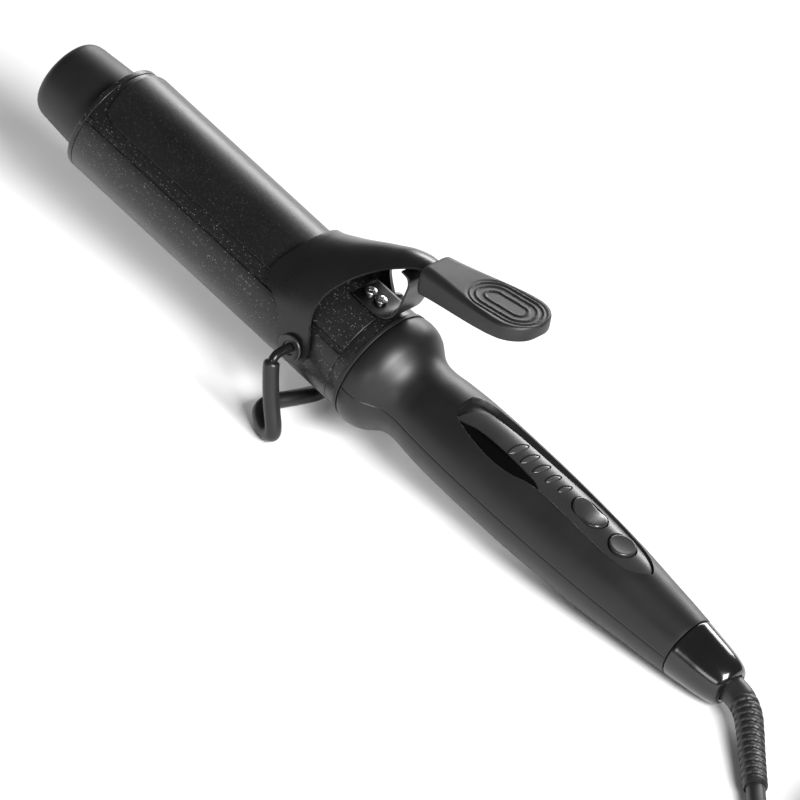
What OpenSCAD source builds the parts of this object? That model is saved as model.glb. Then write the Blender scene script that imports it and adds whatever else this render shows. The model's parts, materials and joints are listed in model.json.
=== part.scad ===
// Salon curling iron with a spring clamp, a wire stand and a corded handle.
// The iron is drawn along its own axis and then laid on its stand by placed().
// Units are millimetres; +X runs from the tip to the cord and +Z is up.

/* [Barrel] */
// Outer diameter of the heated barrel
barrel_d = 38; // [25:1:50]
// Wall thickness of the barrel tube
barrel_wall = 1.6; // [1:0.1:3]
// Distance from the handle's front face to the tip end of the barrel
barrel_reach = 120.2; // [90:0.1:150]
// Length of the heat-proof tip beyond the end flange
tip_len = 22; // [15:1:40]
// Width of the shallow grooves along the barrel
groove_w = 2; // [1:0.1:5]

/* [Clamp] */
// Thickness of the clamp plate
sheet_t = 0.7; // [0.5:0.1:1.2]
// Thickness of the lever
lever_t = 1.1; // [0.8:0.1:1.6]
// Half angle of the clamp plate around the barrel, in degrees
clamp_half_angle = 52; // [30:1:56]
// Length of the thumb grip
grip_len = 44; // [30:1:60]
// Width of the thumb grip
grip_w = 22; // [18:1:30]
// Pitch of the thumb grip above the barrel axis, in degrees
grip_pitch = 13.5; // [0:0.5:30]

/* [Handle] */
// Length of the handle shells behind their front face
handle_len = 135.5; // [110:0.5:160]
// Wall thickness of the handle shells
handle_wall = 3; // [2:0.1:4]
// Width of the control panel
panel_w = 15; // [10:0.5:18]
// Diameter of the round power button
button_d = 9; // [6:0.5:12]
// Number of temperature lamps
led_count = 5; // [3:1:7]

/* [Stand] */
// Diameter of the stand's wire
wire_d = 3; // [2:0.1:4]
// Outer diameter of the rubber sleeve on the stand
sleeve_d = 5.2; // [4:0.1:7]
// Distance from the middle of the iron to each leg
leg_y = 30.4; // [28:0.1:45]

/* [Cord] */
// Diameter of the mains cord
cord_d = 6; // [5:0.5:8]
// Turns stacked on each other in the stored coil
coil_layers = 4; // [2:1:6]

/* [Part] */
// Sub-part to draw

/* [Hidden] */

$fn = 64;
eps = 0.01;

// Radii and stations of the barrel
barrel_r = barrel_d / 2;
barrel_in = barrel_r - barrel_wall;
flange_t = 2;
groove_angle = 64;
tip_x = -barrel_reach - flange_t;
ring_front = -5;
rim_front = -1;
rim_back = 0.6;
tip_r = 15.3;
tip_end_r = 13.9;
tip_round = 5;
bore_gap = 0.06;

// Hinge that the clamp and the stand share
pivot_x = -19.5;
bush_r = 3.5;
ear_r = 6;
spring_screw_x = [-13.5, -9];

// Clamp sheets: the plate sits just off the barrel and the lever sits on the plate
plate_in = barrel_r + 0.2;
plate_out = plate_in + sheet_t;
plate_front = tip_x + 2 + flange_t;
plate_back = -27;
lever_half_w = barrel_r + 2.5;
tongue_narrow = 2.2;
tongue_from = 26;
tongue_fade = 8;
lever_front = -41;
lever_back = 2;

// Crest of the lever: height of its outer face over the barrel axis at each station
lever_crest = [[-41, 21.6], [-36, 23.6], [-31.5, 26.4], [-27, 29.5], [-22.5, 32.8],
    [-18, 36], [-13, 39.3], [-8.5, 42.2], [-4, 44.2], [2, 45.6]];

// Side outline of the lever: front foot, ear round the hinge, then the rising tongue
lever_side = concat(
    [[-37.5, 27], [-38.4, 21], [-39.4, 18.4], [-40, 15.5], [-39.3, 13.2], [-35.5, 10], [-32.5, 9],
    [-29, 6.5], [-26.2, 2.5]],
    [for (a = [190:20:350]) [pivot_x + ear_r * cos(a), ear_r * sin(a)]],
    [[-14, 3], [-15.6, 6], [-17.4, 9], [-19, 12.5], [-19.5, 16], [-18.8, 22], [-16.4, 27.5]],
    [[-13.5, 32.2], [-9.1, 37.5], [-4.2, 41.6], [2, 44.3], [2, 52], [-20, 52]]);

// Thumb grip: front top edge, thickness at its nose and at its tail
grip_x = 2;
grip_z = 47.2;
grip_nose_t = 9.6;
grip_tail_t = 5;
grip_screw_x = 18;
tongue_w = 11;

// Handle outline: station along the axis and radius
handle_outline = [[0.6, 19.2], [1.4, 19.8], [5, 19.9], [8, 19.2], [10.5, 17.7], [13, 15.6],
    [16, 14.3], [20, 14], [26, 14.6], [33, 15.1], [45, 15.45], [59, 15.45], [71, 15.3],
    [84, 14.85], [97, 14.15], [107, 13.4], [117, 12.4], [127, 11.45], [handle_len, 10.5]];
cavity_outline = [[-2, 16.7], [7, 16.7], [11, 13.5], [16, 11.2], [26, 11.4], [45, 12.4],
    [59, 12.4], [84, 11.6], [107, 10.2], [126, 8.2], [131, 7.4]];
parting_gap = 0.05;

// Control panel along the top of the handle
panel_front = 33;
panel_back = 114;
panel_depth = 1.9;
panel_drop = 0.7;
led_x = 56;
led_step = 4.9;
led_r = 1.1;
led_reach = 2.4;
led_shrink = 0.3;
rocker_x = 86.5;
rocker_len = 13.4;
rocker_w = 8.2;
button_x = 101;
key_gap = 0.35;
rocker_axle_z = 9.2;
rocker_axle_r = 0.9;
board_z = 2.6;
board_t = 1.6;
switch_h = 3.4;

// Rear cone and swivel
cone_front = handle_len + 0.4;
cone_back = 155;
spindle_r = 5.2;
guard_bore_r = 4.9;

// Resting attitude: the iron leans on the stand's feet and the handle's tail
tilt = 7;
rest_x = -5.18;
rest_z = 26.95;

// Stand: points of one side, from the hinge pin to the middle of the crossbar, about the hinge
stand_side = [[0, -17.9, 0], [0, -22.8, 0], [0, -26.4, 0], [0.3, -29.2, -0.6], [1, -leg_y, -3],
    [4, -leg_y, -10], [7.2, -leg_y, -16], [10.2, -leg_y, -21], [10.9, -leg_y + 0.2, -23.9],
    [8.8, -leg_y + 1.2, -25.8], [5, -27.6, -26.1], [1.4, -25, -25.6], [0.2, -22, -25],
    [0.8, -18, -24.6], [2.2, -13.5, -24.3], [3.8, -8, -24.1], [4.8, -3.3, -24]];
sleeve_start = 4;

// Cord guard, then the cord's routes on the table
guard_route = [[141, 0, 9], [145, 0, 8.5], [149.5, 0, 7.95], [154, -0.8, 7.3], [159, -3.5, 6.6],
    [164, -8, 5.9], [169, -13, 5.3], [175, -19, 4.8], [182, -26, 4.4]];
guard_radii = [4.6, 4.7, 4.7, 4.6, 4.5, 4.4, 4.3, 4.1, 3.8];
cord_route = [[182, -26, 4.4], [187, -31, 4.1], [192, -35.8, 3.7], [197.5, -40.2, 3.3],
    [204, -44, 3.1], [211.5, -46.8, 3], [219.5, -47.9, 3], [227, -48, 3], [234, -48, 3],
    [241, -48, 3], [248, -48, 3]];
coil_mid_r = 34;
coil_at = [248, -8];
tail_route = [[248, -48, 21], [255, -48, 20.3], [262, -48, 18], [269, -48, 15],
    [275.5, -48, 12.3], [282, -48, 10.3], [288, -48, 9.5]];
plug_at = [288, -48, 9.5];

// ---- Geometry helpers ----

function unit(v) = v / norm(v);
function along(p, i) = unit(p[min(i + 1, len(p) - 1)] - p[max(i - 1, 0)]);
function across(v, t) = unit(v - (v * t) * t);
function seed_normal(t) = across(abs(t[2]) > 0.8 ? [1, 0, 0] : [0, 0, 1], t);
function normals(p) = [for (i = 0, n = seed_normal(along(p, 0)); i < len(p);
    i = i + 1, n = i < len(p) ? across(n, along(p, i)) : n) n];

// Smooth curve through the points, with k steps between each pair
function curve_point(a, b, c, d, t) = 0.5 * ((2 * b) + (c - a) * t
    + (2 * a - 5 * b + 4 * c - d) * t * t + (3 * b - a - 3 * c + d) * t * t * t);
function smooth(p, k) = concat([for (i = [0:len(p) - 2], j = [0:k - 1])
    curve_point(p[max(i - 1, 0)], p[i], p[i + 1], p[min(i + 2, len(p) - 1)], j / k)],
    [p[len(p) - 1]]);
function mirrored(p) = concat(p, [for (i = [len(p) - 1:-1:0]) [p[i][0], -p[i][1], p[i][2]]]);

function ring_points(c, n, t, r, sides) = [for (j = [0:sides - 1])
    c + r * (cos(360 * j / sides) * n + sin(360 * j / sides) * cross(t, n))];

// Round tube of varying radius along a route
module tube(route, radii, sides = 12) {
    n = normals(route);
    last = len(route) - 1;
    pts = [for (i = [0:last]) each ring_points(route[i], n[i], along(route, i), radii[i], sides)];
    walls = [for (i = [0:last - 1], j = [0:sides - 1])
        let (a = i * sides + j, b = i * sides + (j + 1) % sides) each
        [[a, a + sides, b], [b, a + sides, b + sides]]];
    front = [[for (j = [0:sides - 1]) j]];
    back = [[for (j = [sides - 1:-1:0]) last * sides + j]];
    polyhedron(pts, concat(front, walls, back), convexity = 6);
}

// Hollow tube of constant size along a route
module hose(route, outer, inner, sides = 12) {
    n = normals(route);
    last = len(route) - 1;
    rings = last + 1;
    pts = concat(
        [for (i = [0:last]) each ring_points(route[i], n[i], along(route, i), outer, sides)],
        [for (i = [0:last]) each ring_points(route[i], n[i], along(route, i), inner, sides)]);
    function q(i, j, inside) = (inside ? rings * sides : 0) + i * sides + j % sides;
    outside = [for (i = [0:last - 1], j = [0:sides - 1]) each
        [[q(i, j, false), q(i + 1, j, false), q(i, j + 1, false)],
        [q(i, j + 1, false), q(i + 1, j, false), q(i + 1, j + 1, false)]]];
    inside = [for (i = [0:last - 1], j = [0:sides - 1]) each
        [[q(i, j, true), q(i, j + 1, true), q(i + 1, j, true)],
        [q(i, j + 1, true), q(i + 1, j + 1, true), q(i + 1, j, true)]]];
    front = [for (j = [0:sides - 1]) each
        [[q(0, j, false), q(0, j + 1, false), q(0, j, true)],
        [q(0, j + 1, false), q(0, j + 1, true), q(0, j, true)]]];
    back = [for (j = [0:sides - 1]) each
        [[q(last, j, false), q(last, j, true), q(last, j + 1, false)],
        [q(last, j + 1, false), q(last, j, true), q(last, j + 1, true)]]];
    polyhedron(pts, concat(outside, inside, front, back), convexity = 8);
}

// The iron lying on its stand
module placed() {
    translate([rest_x, 0, rest_z]) rotate([0, tilt, 0]) children();
}

// Solid of revolution about the iron's axis, from points of station and radius
module turned(outline) {
    low = outline[0][0];
    high = outline[len(outline) - 1][0];
    section = concat([[0, low]], [for (p = outline) [p[1], p[0]]], [[0, high]]);
    rotate([0, 90, 0]) rotate_extrude() polygon(section);
}

// Plain rod and ring about the iron's axis
module rod_x(x, len, r) {
    translate([x, 0, 0]) rotate([0, 90, 0]) cylinder(h = len, r = r);
}

module ring_x(x, len, outer, inner) {
    difference() {
        rod_x(x, len, outer);
        rod_x(x - 1, len + 2, inner);
    }
}

// Rod across the iron, centred on its mid-plane
module rod_y(x, z, len, r) {
    translate([x, len / 2, z]) rotate([90, 0, 0]) cylinder(h = len, r = r);
}

function inset(outline, by) = [for (p = outline) [p[0], p[1] - by]];

// Plan shape with round ends, standing from z = 0 to a height
module stadium(x0, x1, w, h) {
    linear_extrude(h) hull() {
        translate([x0 + w / 2, 0]) circle(d = w);
        translate([x1 - w / 2, 0]) circle(d = w);
    }
}

module round_bar(x0, x1, w, h) {
    translate([x0 + w / 2, -w / 2, 0]) cube([x1 - x0 - w, w, h]);
    translate([x0 + w / 2, 0, 0]) cylinder(h = h, d = w);
    translate([x1 - w / 2, 0, 0]) cylinder(h = h, d = w);
}

// ---- Barrel and tip ----

module barrel_grooves() {
    for (side = [-1, 1]) rotate([side * groove_angle, 0, 0])
        translate([tip_x, -groove_w / 2, barrel_r - 0.5])
            cube([barrel_reach + 20, groove_w, 3]);
}

module barrel() {
    color("#2b2b2d") placed() difference() {
        ring_x(tip_x + flange_t, barrel_reach + ring_front, barrel_r, barrel_in);
        barrel_grooves();
        rod_y(pivot_x, 0, 50, wire_d / 2 + bore_gap);
        for (x = spring_screw_x) translate([x, 0, 10]) cylinder(h = 12, r = 1.1);
    }
}

module end_flange() {
    color("#232325") placed() difference() {
        union() {
            turned([[tip_x, barrel_r - 0.4], [tip_x + 0.4, barrel_r],
                [tip_x + flange_t - 0.1, barrel_r]]);
            for (side = [-1, 1]) rotate([side * groove_angle, 0, 0])
                translate([tip_x + 1, -groove_w / 2 + 0.2, barrel_r - 0.47])
                    cube([flange_t + 2, groove_w - 0.4, 0.35]);
        }
        rod_x(tip_x + flange_t, 6, barrel_r - 0.6);
        rod_x(tip_x - 1, 5, 2.1);
    }
}

module tip_cap() {
    end = tip_x - tip_len;
    color("#17171a") placed() difference() {
        turned(concat(
            [for (a = [0:15:90]) [end + tip_round * (1 - cos(a)),
                tip_end_r - tip_round * (1 - sin(a))]],
            [[tip_x - 0.2, tip_r]]));
        rod_x(tip_x - 4, 5, 8);
        rod_x(end + 6, tip_len, 2.1);
    }
}

module tip_screw() {
    color("#b8babd") placed() {
        rod_x(tip_x - tip_len + 7, tip_len + 5, 2);
        rod_x(tip_x - 3.9, 2.8, 3.6);
    }
}

module barrel_ring() {
    color("#2b2b2d") placed() difference() {
        ring_x(ring_front + 0.1, rim_front - ring_front - 0.2, barrel_r, barrel_in);
        translate([ring_front - 1, -2.5, barrel_r - 0.4]) cube([6, 5, 2]);
    }
}

module collar_rim() {
    color("#1c1c1e") placed() difference() {
        turned([[rim_front, 19.3], [rim_front + 0.3, 19.7], [rim_back - 0.1, 19.7]]);
        rod_x(rim_front - 1, 5, 16.72);
    }
}

module barrel_socket() {
    color("#8a6f52") placed() difference() {
        union() {
            rod_x(-15, 21, 16.65);
            rod_x(-15, 9.3, barrel_in - 0.05);
        }
        rod_x(-16, 24, 13.6);
    }
}

// ---- Heater inside the barrel ----

module heater_shoes() {
    color("#c3c6c9") placed() for (side = [0, 180]) rotate([side, 0, 0]) difference() {
        rod_x(-108, 70, barrel_in - 0.1);
        translate([-109, -20, -20]) cube([72, 40, 22.6]);
        for (y = [-8, 8]) translate([-109, y - 2.5, 5.5]) cube([72, 5, 20]);
    }
}

module ptc_plates() {
    color("#5a4a3c") placed() for (i = [0:2])
        translate([-104 + 22 * i, -8, -1.2]) cube([20, 16, 2.4]);
}

module electrode_strips() {
    color("#c8a060") placed() for (side = [0, 1]) mirror([0, 0, side])
        translate([-107, -7, 1.25]) cube([76, 14, 0.5]);
}

module thermistor() {
    color("#a8482c") placed() translate([-60, 8, 8.5]) rotate([0, 90, 0]) {
        translate([0, 0, -2]) cylinder(h = 4, d = 3.4);
        cylinder(h = 24, d = 1.6);
    }
}

module thermal_fuse() {
    color("#d8d2c0") placed() {
        rod_z = 6.5;
        translate([-31, 0, rod_z]) rotate([0, 90, 0]) cylinder(h = 11, d = 4);
        translate([-35, 0, rod_z]) rotate([0, 90, 0]) cylinder(h = 19, d = 1);
    }
}

module lead_wires() {
    route_y = [[-31, 4, 0.4], [-22, 6, -1], [-8, 8, -3], [6, 8, -3.4], [20, 6.5, -2.2],
        [34, 6, 0], [44, 5.6, 1.4]];
    color("#b9b4a6") placed() for (side = [-1, 1]) {
        route = smooth([for (p = route_y) [p[0], side * p[1], p[2]]], 3);
        tube(route, [for (p = route) 0.9], 8);
    }
}

// ---- Clamp ----

module clamp_plate() {
    corner = 15.4;
    color("#343436") placed() intersection() {
        difference() {
            ring_x(plate_front, plate_back - plate_front, plate_out, plate_in);
            for (side = [-1, 1]) rotate([side * clamp_half_angle, 0, 0])
                translate([plate_front - 1, side > 0 ? -60 : 0, -60]) cube([120, 60, 120]);
            translate([plate_front - 1, -30, -60]) cube([120, 60, 60]);
        }
        union() {
            translate([plate_front + corner, 0, 0]) cylinder(h = 40, r = corner);
            translate([plate_front + corner, -corner - 1, 0]) cube([120, 2 * corner + 2, 40]);
        }
    }
}

// The upper part of the lever narrows where the crest has risen, and its ears stay wide
function fade(t) = let (u = min(1, max(0, t))) u * u * (3 - 2 * u);
function narrowing(crest, angle) = tongue_narrow * max(0, cos(angle))
    * fade((crest - tongue_from) / tongue_fade);

// Arched body of the lever between two stations, shrunk by an inset
module lever_body(by) {
    sides = 40;
    stations = smooth(lever_crest, 2);
    last = len(stations) - 1;
    pts = [for (s = stations, j = [0:sides - 1])
        [s[0] + (s == stations[0] ? -by : 0) + (s == stations[last] ? by : 0),
        (lever_half_w - narrowing(s[1], 360 * j / sides) - by) * sin(360 * j / sides),
        (s[1] - by) * cos(360 * j / sides)]];
    walls = [for (i = [0:last - 1], j = [0:sides - 1])
        let (a = i * sides + j, b = i * sides + (j + 1) % sides) each
        [[a, b, a + sides], [b, b + sides, a + sides]]];
    front = [[for (j = [sides - 1:-1:0]) j]];
    back = [[for (j = [0:sides - 1]) last * sides + j]];
    polyhedron(pts, concat(front, walls, back), convexity = 6);
}

module grip_frame() {
    translate([grip_x, 0, grip_z]) rotate([0, -grip_pitch, 0]) children();
}

module clamp_lever() {
    color("#343436") placed() difference() {
        union() {
            intersection() {
                difference() {
                    lever_body(0);
                    lever_body(lever_t);
                }
                translate([0, 40, 0]) rotate([90, 0, 0]) linear_extrude(80) polygon(lever_side);
            }
            grip_frame() translate([-4.5, -tongue_w / 2, -2.9]) cube([36, tongue_w, 1.2]);
        }
        rod_y(pivot_x, 0, 60, bush_r + bore_gap);
        grip_frame() translate([grip_screw_x, 0, -8]) cylinder(h = 10, r = 1.55);
    }
}

module lever_grip() {
    nose_w = 14.5;
    // Each layer holds the inset of its outline, then its height at the nose and at the tail
    layers = [[1.6, -0.2, -0.2], [0, -1.6, -1.6], [0, -grip_nose_t + 1.5, -grip_tail_t + 1.4],
        [1.5, -grip_nose_t, -grip_tail_t]];
    color("#1d1d20") placed() grip_frame() difference() {
        hull() for (layer = layers) {
            translate([nose_w / 2, 0, layer[1]]) linear_extrude(0.2)
                square(nose_w - 2 * layer[0], center = true);
            translate([grip_len - grip_w / 2, 0, layer[2]])
                cylinder(h = 0.2, r = grip_w / 2 - layer[0], $fn = 44);
            translate([grip_len - grip_w, 0, layer[2]])
                cylinder(h = 0.2, r = grip_w / 2 - layer[0] - 0.6, $fn = 44);
        }
        translate([-6, -tongue_w / 2 - 0.1, -2.95]) cube([38, tongue_w + 0.2, 1.3]);
        translate([grip_screw_x, 0, -8]) cylinder(h = 7, r = 1.5);
        translate([grip_screw_x, 0, -9]) cylinder(h = 4.2, r = 2.7);
    }
}

module grip_screw() {
    color("#8c8e91") placed() grip_frame() translate([grip_screw_x, 0, -5.7]) {
        cylinder(h = 4, r = 1.45);
        cylinder(h = 0.9, r = 2.6);
    }
}

// ---- Spring under the lever ----

module leaf_spring() {
    width = 12;
    line = smooth([[-16, 19.05], [-11, 19.05], [-5.4, 19.15], [-1.8, 20.7], [0.4, 24], [1.2, 28.5],
        [1.2, 33.5], [1, 37.2], [-0.6, 39.6], [-3.6, 40.1]], 3);
    thick = 0.7;
    last = len(line) - 1;
    function edge(i) = let (t = unit(line[min(i + 1, last)] - line[max(i - 1, 0)]))
        [-t[1], t[0]] * thick;
    outline = concat(line, [for (i = [last:-1:0]) line[i] + edge(i)]);
    color("#6c6e72") placed() difference() {
        translate([0, width / 2, 0]) rotate([90, 0, 0]) linear_extrude(width) polygon(outline);
        for (x = spring_screw_x) translate([x, 0, 10]) cylinder(h = 12, r = 1.2);
    }
}

module spring_screws() {
    color("#b8babd") placed() for (x = spring_screw_x) translate([x, 0, 0]) {
        translate([0, 0, barrel_in + 0.05]) cylinder(h = 2.6, r = 1.1);
        translate([0, 0, 19.8]) cylinder(h = 0.9, r = 2);
    }
}

// ---- Hinge bushes and stand ----

module pivot_bushes() {
    color("#9a9ca0") placed() for (side = [0, 1]) mirror([0, side, 0]) difference() {
        translate([pivot_x, 0, 0]) rotate([-90, 0, 0]) {
            cylinder(h = 22.3, r = bush_r);
            translate([0, 0, 21.9]) cylinder(h = 0.9, r = 4.6);
        }
        rod_x(-60, 80, barrel_r + 0.01);
        rod_y(pivot_x, 0, 60, wire_d / 2 + bore_gap);
    }
}

function stand_points() = smooth(mirrored(stand_side), 2);
function stand_part(from) = let (p = stand_points(), k = 2 * from)
    [for (i = [k:len(p) - 1 - k]) p[i]];

module stand_wire() {
    color("#b9bbbe") placed() translate([pivot_x, 0, 0]) {
        route = stand_part(2);
        tube(route, [for (p = route) wire_d / 2 - 0.02], 12);
        for (side = [0, 1]) mirror([0, side, 0]) translate([0, -17.9, 0])
            rotate([90, 0, 0]) cylinder(h = 12.6, r = wire_d / 2);
    }
}

module stand_sleeve() {
    color("#1a1a1c") placed() translate([pivot_x, 0, 0])
        hose(stand_part(sleeve_start), sleeve_d / 2, wire_d / 2 + 0.03, 12);
}

// ---- Handle ----

module panel_cut(grow) {
    round_bar(panel_front - grow, panel_back + grow, panel_w + 2 * grow, 30);
}

module key_holes(gap) {
    round_bar(rocker_x - rocker_len / 2 - gap, rocker_x + rocker_len / 2 + gap,
        rocker_w + 2 * gap, 30);
    translate([button_x, 0, 0]) cylinder(h = 30, r = button_d / 2 + gap);
}

module led_holes(r) {
    for (i = [0:led_count - 1]) translate([led_x + led_step * i, 0, 0]) {
        reach = led_reach - led_shrink * i;
        translate([-r, -reach, 0]) cube([2 * r, 2 * reach, 30]);
        for (side = [-1, 1]) translate([0, side * reach, 0]) cylinder(h = 30, r = r);
    }
}

module handle_body() {
    difference() {
        turned(handle_outline);
        turned(cavity_outline);
        rod_x(129, 12, spindle_r + 0.05);
    }
}

module screw_posts(r) {
    for (x = [24, 121]) translate([x, 0, -16]) cylinder(h = 32, r = r);
}

module handle_top_shell() {
    color("#141416") placed() difference() {
        intersection() {
            union() {
                handle_body();
                intersection() {
                    screw_posts(3);
                    turned(inset(handle_outline, 1));
                }
            }
            translate([-5, -30, parting_gap]) cube([160, 60, 40]);
        }
        difference() {
            panel_cut(0.1);
            turned(inset(handle_outline, panel_depth));
        }
        translate([0, 0, 6]) key_holes(key_gap);
        translate([0, 0, 6]) led_holes(led_r + 0.05);
        rod_y(rocker_x, rocker_axle_z, 15.2, rocker_axle_r + 0.01);
        translate([24, 0, 0]) cylinder(h = 8, r = 1.2);
        translate([121, 0, 0]) cylinder(h = 7, r = 1.2);
    }
}

module handle_bottom_shell() {
    color("#141416") placed() difference() {
        intersection() {
            union() {
                handle_body();
                intersection() {
                    screw_posts(3.4);
                    turned(inset(handle_outline, 1));
                }
            }
            translate([-5, -30, -40 - parting_gap]) cube([160, 60, 40]);
        }
        for (x = [24, 121]) translate([x, 0, -20]) {
            cylinder(h = 30, r = 1.5);
            cylinder(h = 12, r = 2.6);
        }
    }
}

module handle_screws() {
    color("#77797c") placed() for (x = [24, 121]) translate([x, 0, 0]) {
        translate([0, 0, -8]) cylinder(h = 14, r = 1.15);
        translate([0, 0, -9.6]) cylinder(h = 1.6, r = 2.4);
    }
}

module control_panel() {
    color("#2a2a2c") placed() difference() {
        intersection() {
            panel_cut(0);
            difference() {
                turned(inset(handle_outline, panel_drop));
                turned(inset(handle_outline, panel_depth - 0.05));
            }
        }
        key_holes(key_gap);
        led_holes(led_r + 0.05);
    }
}

module led_lenses() {
    color("#7a7c80") placed() intersection() {
        translate([0, 0, 11]) led_holes(led_r);
        turned(inset(handle_outline, panel_drop - 0.25));
    }
}

// Saddle-topped rocker: two pressing ends with a dip between them
module temp_rocker() {
    color("#1b1b1d") placed() difference() {
        intersection() {
            translate([0, 0, 7.4]) round_bar(rocker_x - rocker_len / 2, rocker_x + rocker_len / 2,
                rocker_w, 8.6);
            turned(inset(handle_outline, -0.3));
        }
        translate([rocker_x, 6, 24.5]) rotate([90, 0, 0]) cylinder(h = 12, r = 10.4);
        rod_y(rocker_x, rocker_axle_z, 20, rocker_axle_r + 0.05);
    }
}

module rocker_axle() {
    color("#b8babd") placed() rod_y(rocker_x, rocker_axle_z, 15, rocker_axle_r);
}

module power_button() {
    color("#1b1b1d") placed() translate([button_x, 0, 0]) {
        translate([0, 0, 8.6]) cylinder(h = 4.6, r = button_d / 2);
        translate([0, 0, 7.1]) cylinder(h = 1.6, r = button_d / 2 + 1);
        translate([0, 0, 13.2]) cylinder(h = 0.4, r1 = button_d / 2, r2 = button_d / 2 - 0.5);
    }
}

module circuit_board() {
    color("#1f5a36") placed() difference() {
        translate([38, -8, board_z - board_t]) cube([72, 16, board_t]);
        for (x = [41, 107], y = [-5.5, 5.5]) translate([x, y, 0]) cylinder(h = 6, r = 1.1);
    }
}

module tact_switches() {
    color("#2e2e30") placed() for (x = [rocker_x - 5.5, rocker_x + 5.5, button_x])
        translate([x - 2.5, -2.5, board_z]) {
            cube([5, 5, 2.4]);
            translate([2.5, 2.5, 2.4]) cylinder(h = switch_h - 2.4, r = 1.2);
        }
}

module led_chips() {
    color("#e8e4d8") placed() for (i = [0:led_count - 1])
        translate([led_x + led_step * i - 0.8, -1.3, board_z]) cube([1.6, 2.6, 1.1]);
}

// ---- Swivel and cord ----

module end_cone() {
    color("#0c0c0e") placed() difference() {
        turned([[cone_front, 10.2], [cone_front + 0.5, 10.4], [138, 10.2], [142, 9.7],
            [146, 9.2], [150, 8.5], [153, 7.6], [154.3, 6.8], [cone_back, 5.9]]);
        rod_x(cone_front - 1, 40, guard_bore_r);
        rod_x(cone_front - 1, 7.6, spindle_r + 1.7);
    }
}

module swivel_spindle() {
    color("#4a4a4d") placed() difference() {
        union() {
            rod_x(129.2, 10, spindle_r);
            rod_x(138.5, 3.6, spindle_r + 1.6);
        }
        rod_x(129, 20, 3.6);
    }
}

module cord_guard() {
    color("#151517") {
        route = smooth(guard_route, 3);
        radii = smooth([for (r = guard_radii) [r, 0]], 3);
        tube(route, [for (r = radii) r[0]], 16);
    }
}

module power_cord() {
    color("#131315") {
        route = smooth(cord_route, 1);
        tube(route, [for (p = route) cord_d / 2], 10);
    }
}

module coil_section(grow) {
    half_w = 1.5 * cord_d;
    height = coil_layers * cord_d;
    polygon([for (corner = [0:3], a = [0:15:90])
        let (sx = corner == 0 || corner == 3 ? 1 : -1, sy = corner < 2 ? 1 : -1,
            r = cord_d / 2 + grow, turn = 90 * corner + a)
        [coil_mid_r + sx * (half_w - cord_d / 2) + r * cos(turn),
        height / 2 + sy * (height / 2 - cord_d / 2) + r * sin(turn)]]);
}

module cord_coil() {
    color("#131315") translate([coil_at[0], coil_at[1], 0]) rotate_extrude()
        coil_section(0);
}

module cord_tie() {
    color("#2a2a2c") translate([coil_at[0], coil_at[1], 0]) intersection() {
        rotate([0, 0, 120]) rotate_extrude(angle = 16) difference() {
            coil_section(0.9);
            coil_section(0.05);
        }
        cylinder(h = 60, r = 90);
    }
}

module cord_tail() {
    color("#131315") tube(tail_route, [for (p = tail_route) cord_d / 2], 10);
}

module plug_body() {
    color("#161618") translate(plug_at) {
        hull() {
            translate([0, 0, 0]) rotate([0, 90, 0]) cylinder(h = 2, r = 5, $fn = 32);
            translate([16, -11, -8.6]) cube([12, 22, 17.2]);
        }
        hull() {
            translate([26, -11, -8.6]) cube([2, 22, 17.2]);
            translate([32, -13, -9.3]) cube([3, 26, 18.6]);
        }
    }
}

module plug_pins() {
    color("#c9b27a") translate(plug_at) for (y = [-6.35, 6.35])
        translate([35, y - 0.75, -3.2]) difference() {
            cube([16, 1.5, 6.4]);
            translate([12, 3, 3.2]) rotate([90, 0, 0]) cylinder(h = 6, r = 1.4);
        }
}

barrel();
end_flange();
tip_cap();
tip_screw();
barrel_ring();
collar_rim();
barrel_socket();
heater_shoes();
ptc_plates();
electrode_strips();
thermistor();
thermal_fuse();
lead_wires();
clamp_plate();
clamp_lever();
lever_grip();
grip_screw();
leaf_spring();
spring_screws();
pivot_bushes();
stand_wire();
stand_sleeve();
handle_top_shell();
handle_bottom_shell();
handle_screws();
control_panel();
led_lenses();
temp_rocker();
rocker_axle();
power_button();
circuit_board();
tact_switches();
led_chips();
end_cone();
swivel_spindle();
cord_guard();
power_cord();
cord_coil();
cord_tie();
cord_tail();
plug_body();
plug_pins();
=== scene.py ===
import json
import math

import bmesh
import bpy
import numpy as np
from mathutils import Matrix, Vector


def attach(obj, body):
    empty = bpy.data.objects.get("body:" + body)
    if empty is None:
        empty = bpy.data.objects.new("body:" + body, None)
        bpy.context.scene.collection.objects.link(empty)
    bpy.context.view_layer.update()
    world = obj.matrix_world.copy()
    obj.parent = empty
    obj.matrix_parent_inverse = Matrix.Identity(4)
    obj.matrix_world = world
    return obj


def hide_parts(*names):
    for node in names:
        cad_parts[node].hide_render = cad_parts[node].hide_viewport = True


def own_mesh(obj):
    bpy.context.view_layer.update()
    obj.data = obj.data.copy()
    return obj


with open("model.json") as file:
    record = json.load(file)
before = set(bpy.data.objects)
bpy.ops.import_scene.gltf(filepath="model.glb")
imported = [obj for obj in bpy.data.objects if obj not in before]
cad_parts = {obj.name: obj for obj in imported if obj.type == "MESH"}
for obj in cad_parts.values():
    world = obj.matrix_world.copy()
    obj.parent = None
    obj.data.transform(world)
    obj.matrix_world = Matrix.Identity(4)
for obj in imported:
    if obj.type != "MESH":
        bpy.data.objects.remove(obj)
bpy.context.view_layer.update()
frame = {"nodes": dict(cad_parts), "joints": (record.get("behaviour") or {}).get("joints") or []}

# A curling iron with a spring clamp. Shapes are written in millimetres, most of them in the iron's
# own frame: x along the barrel and handle towards the cord, y sideways, z up towards the lever.
# Angles round the axis are in degrees from the top, and positive towards -y.

MM = 0.001

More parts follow.
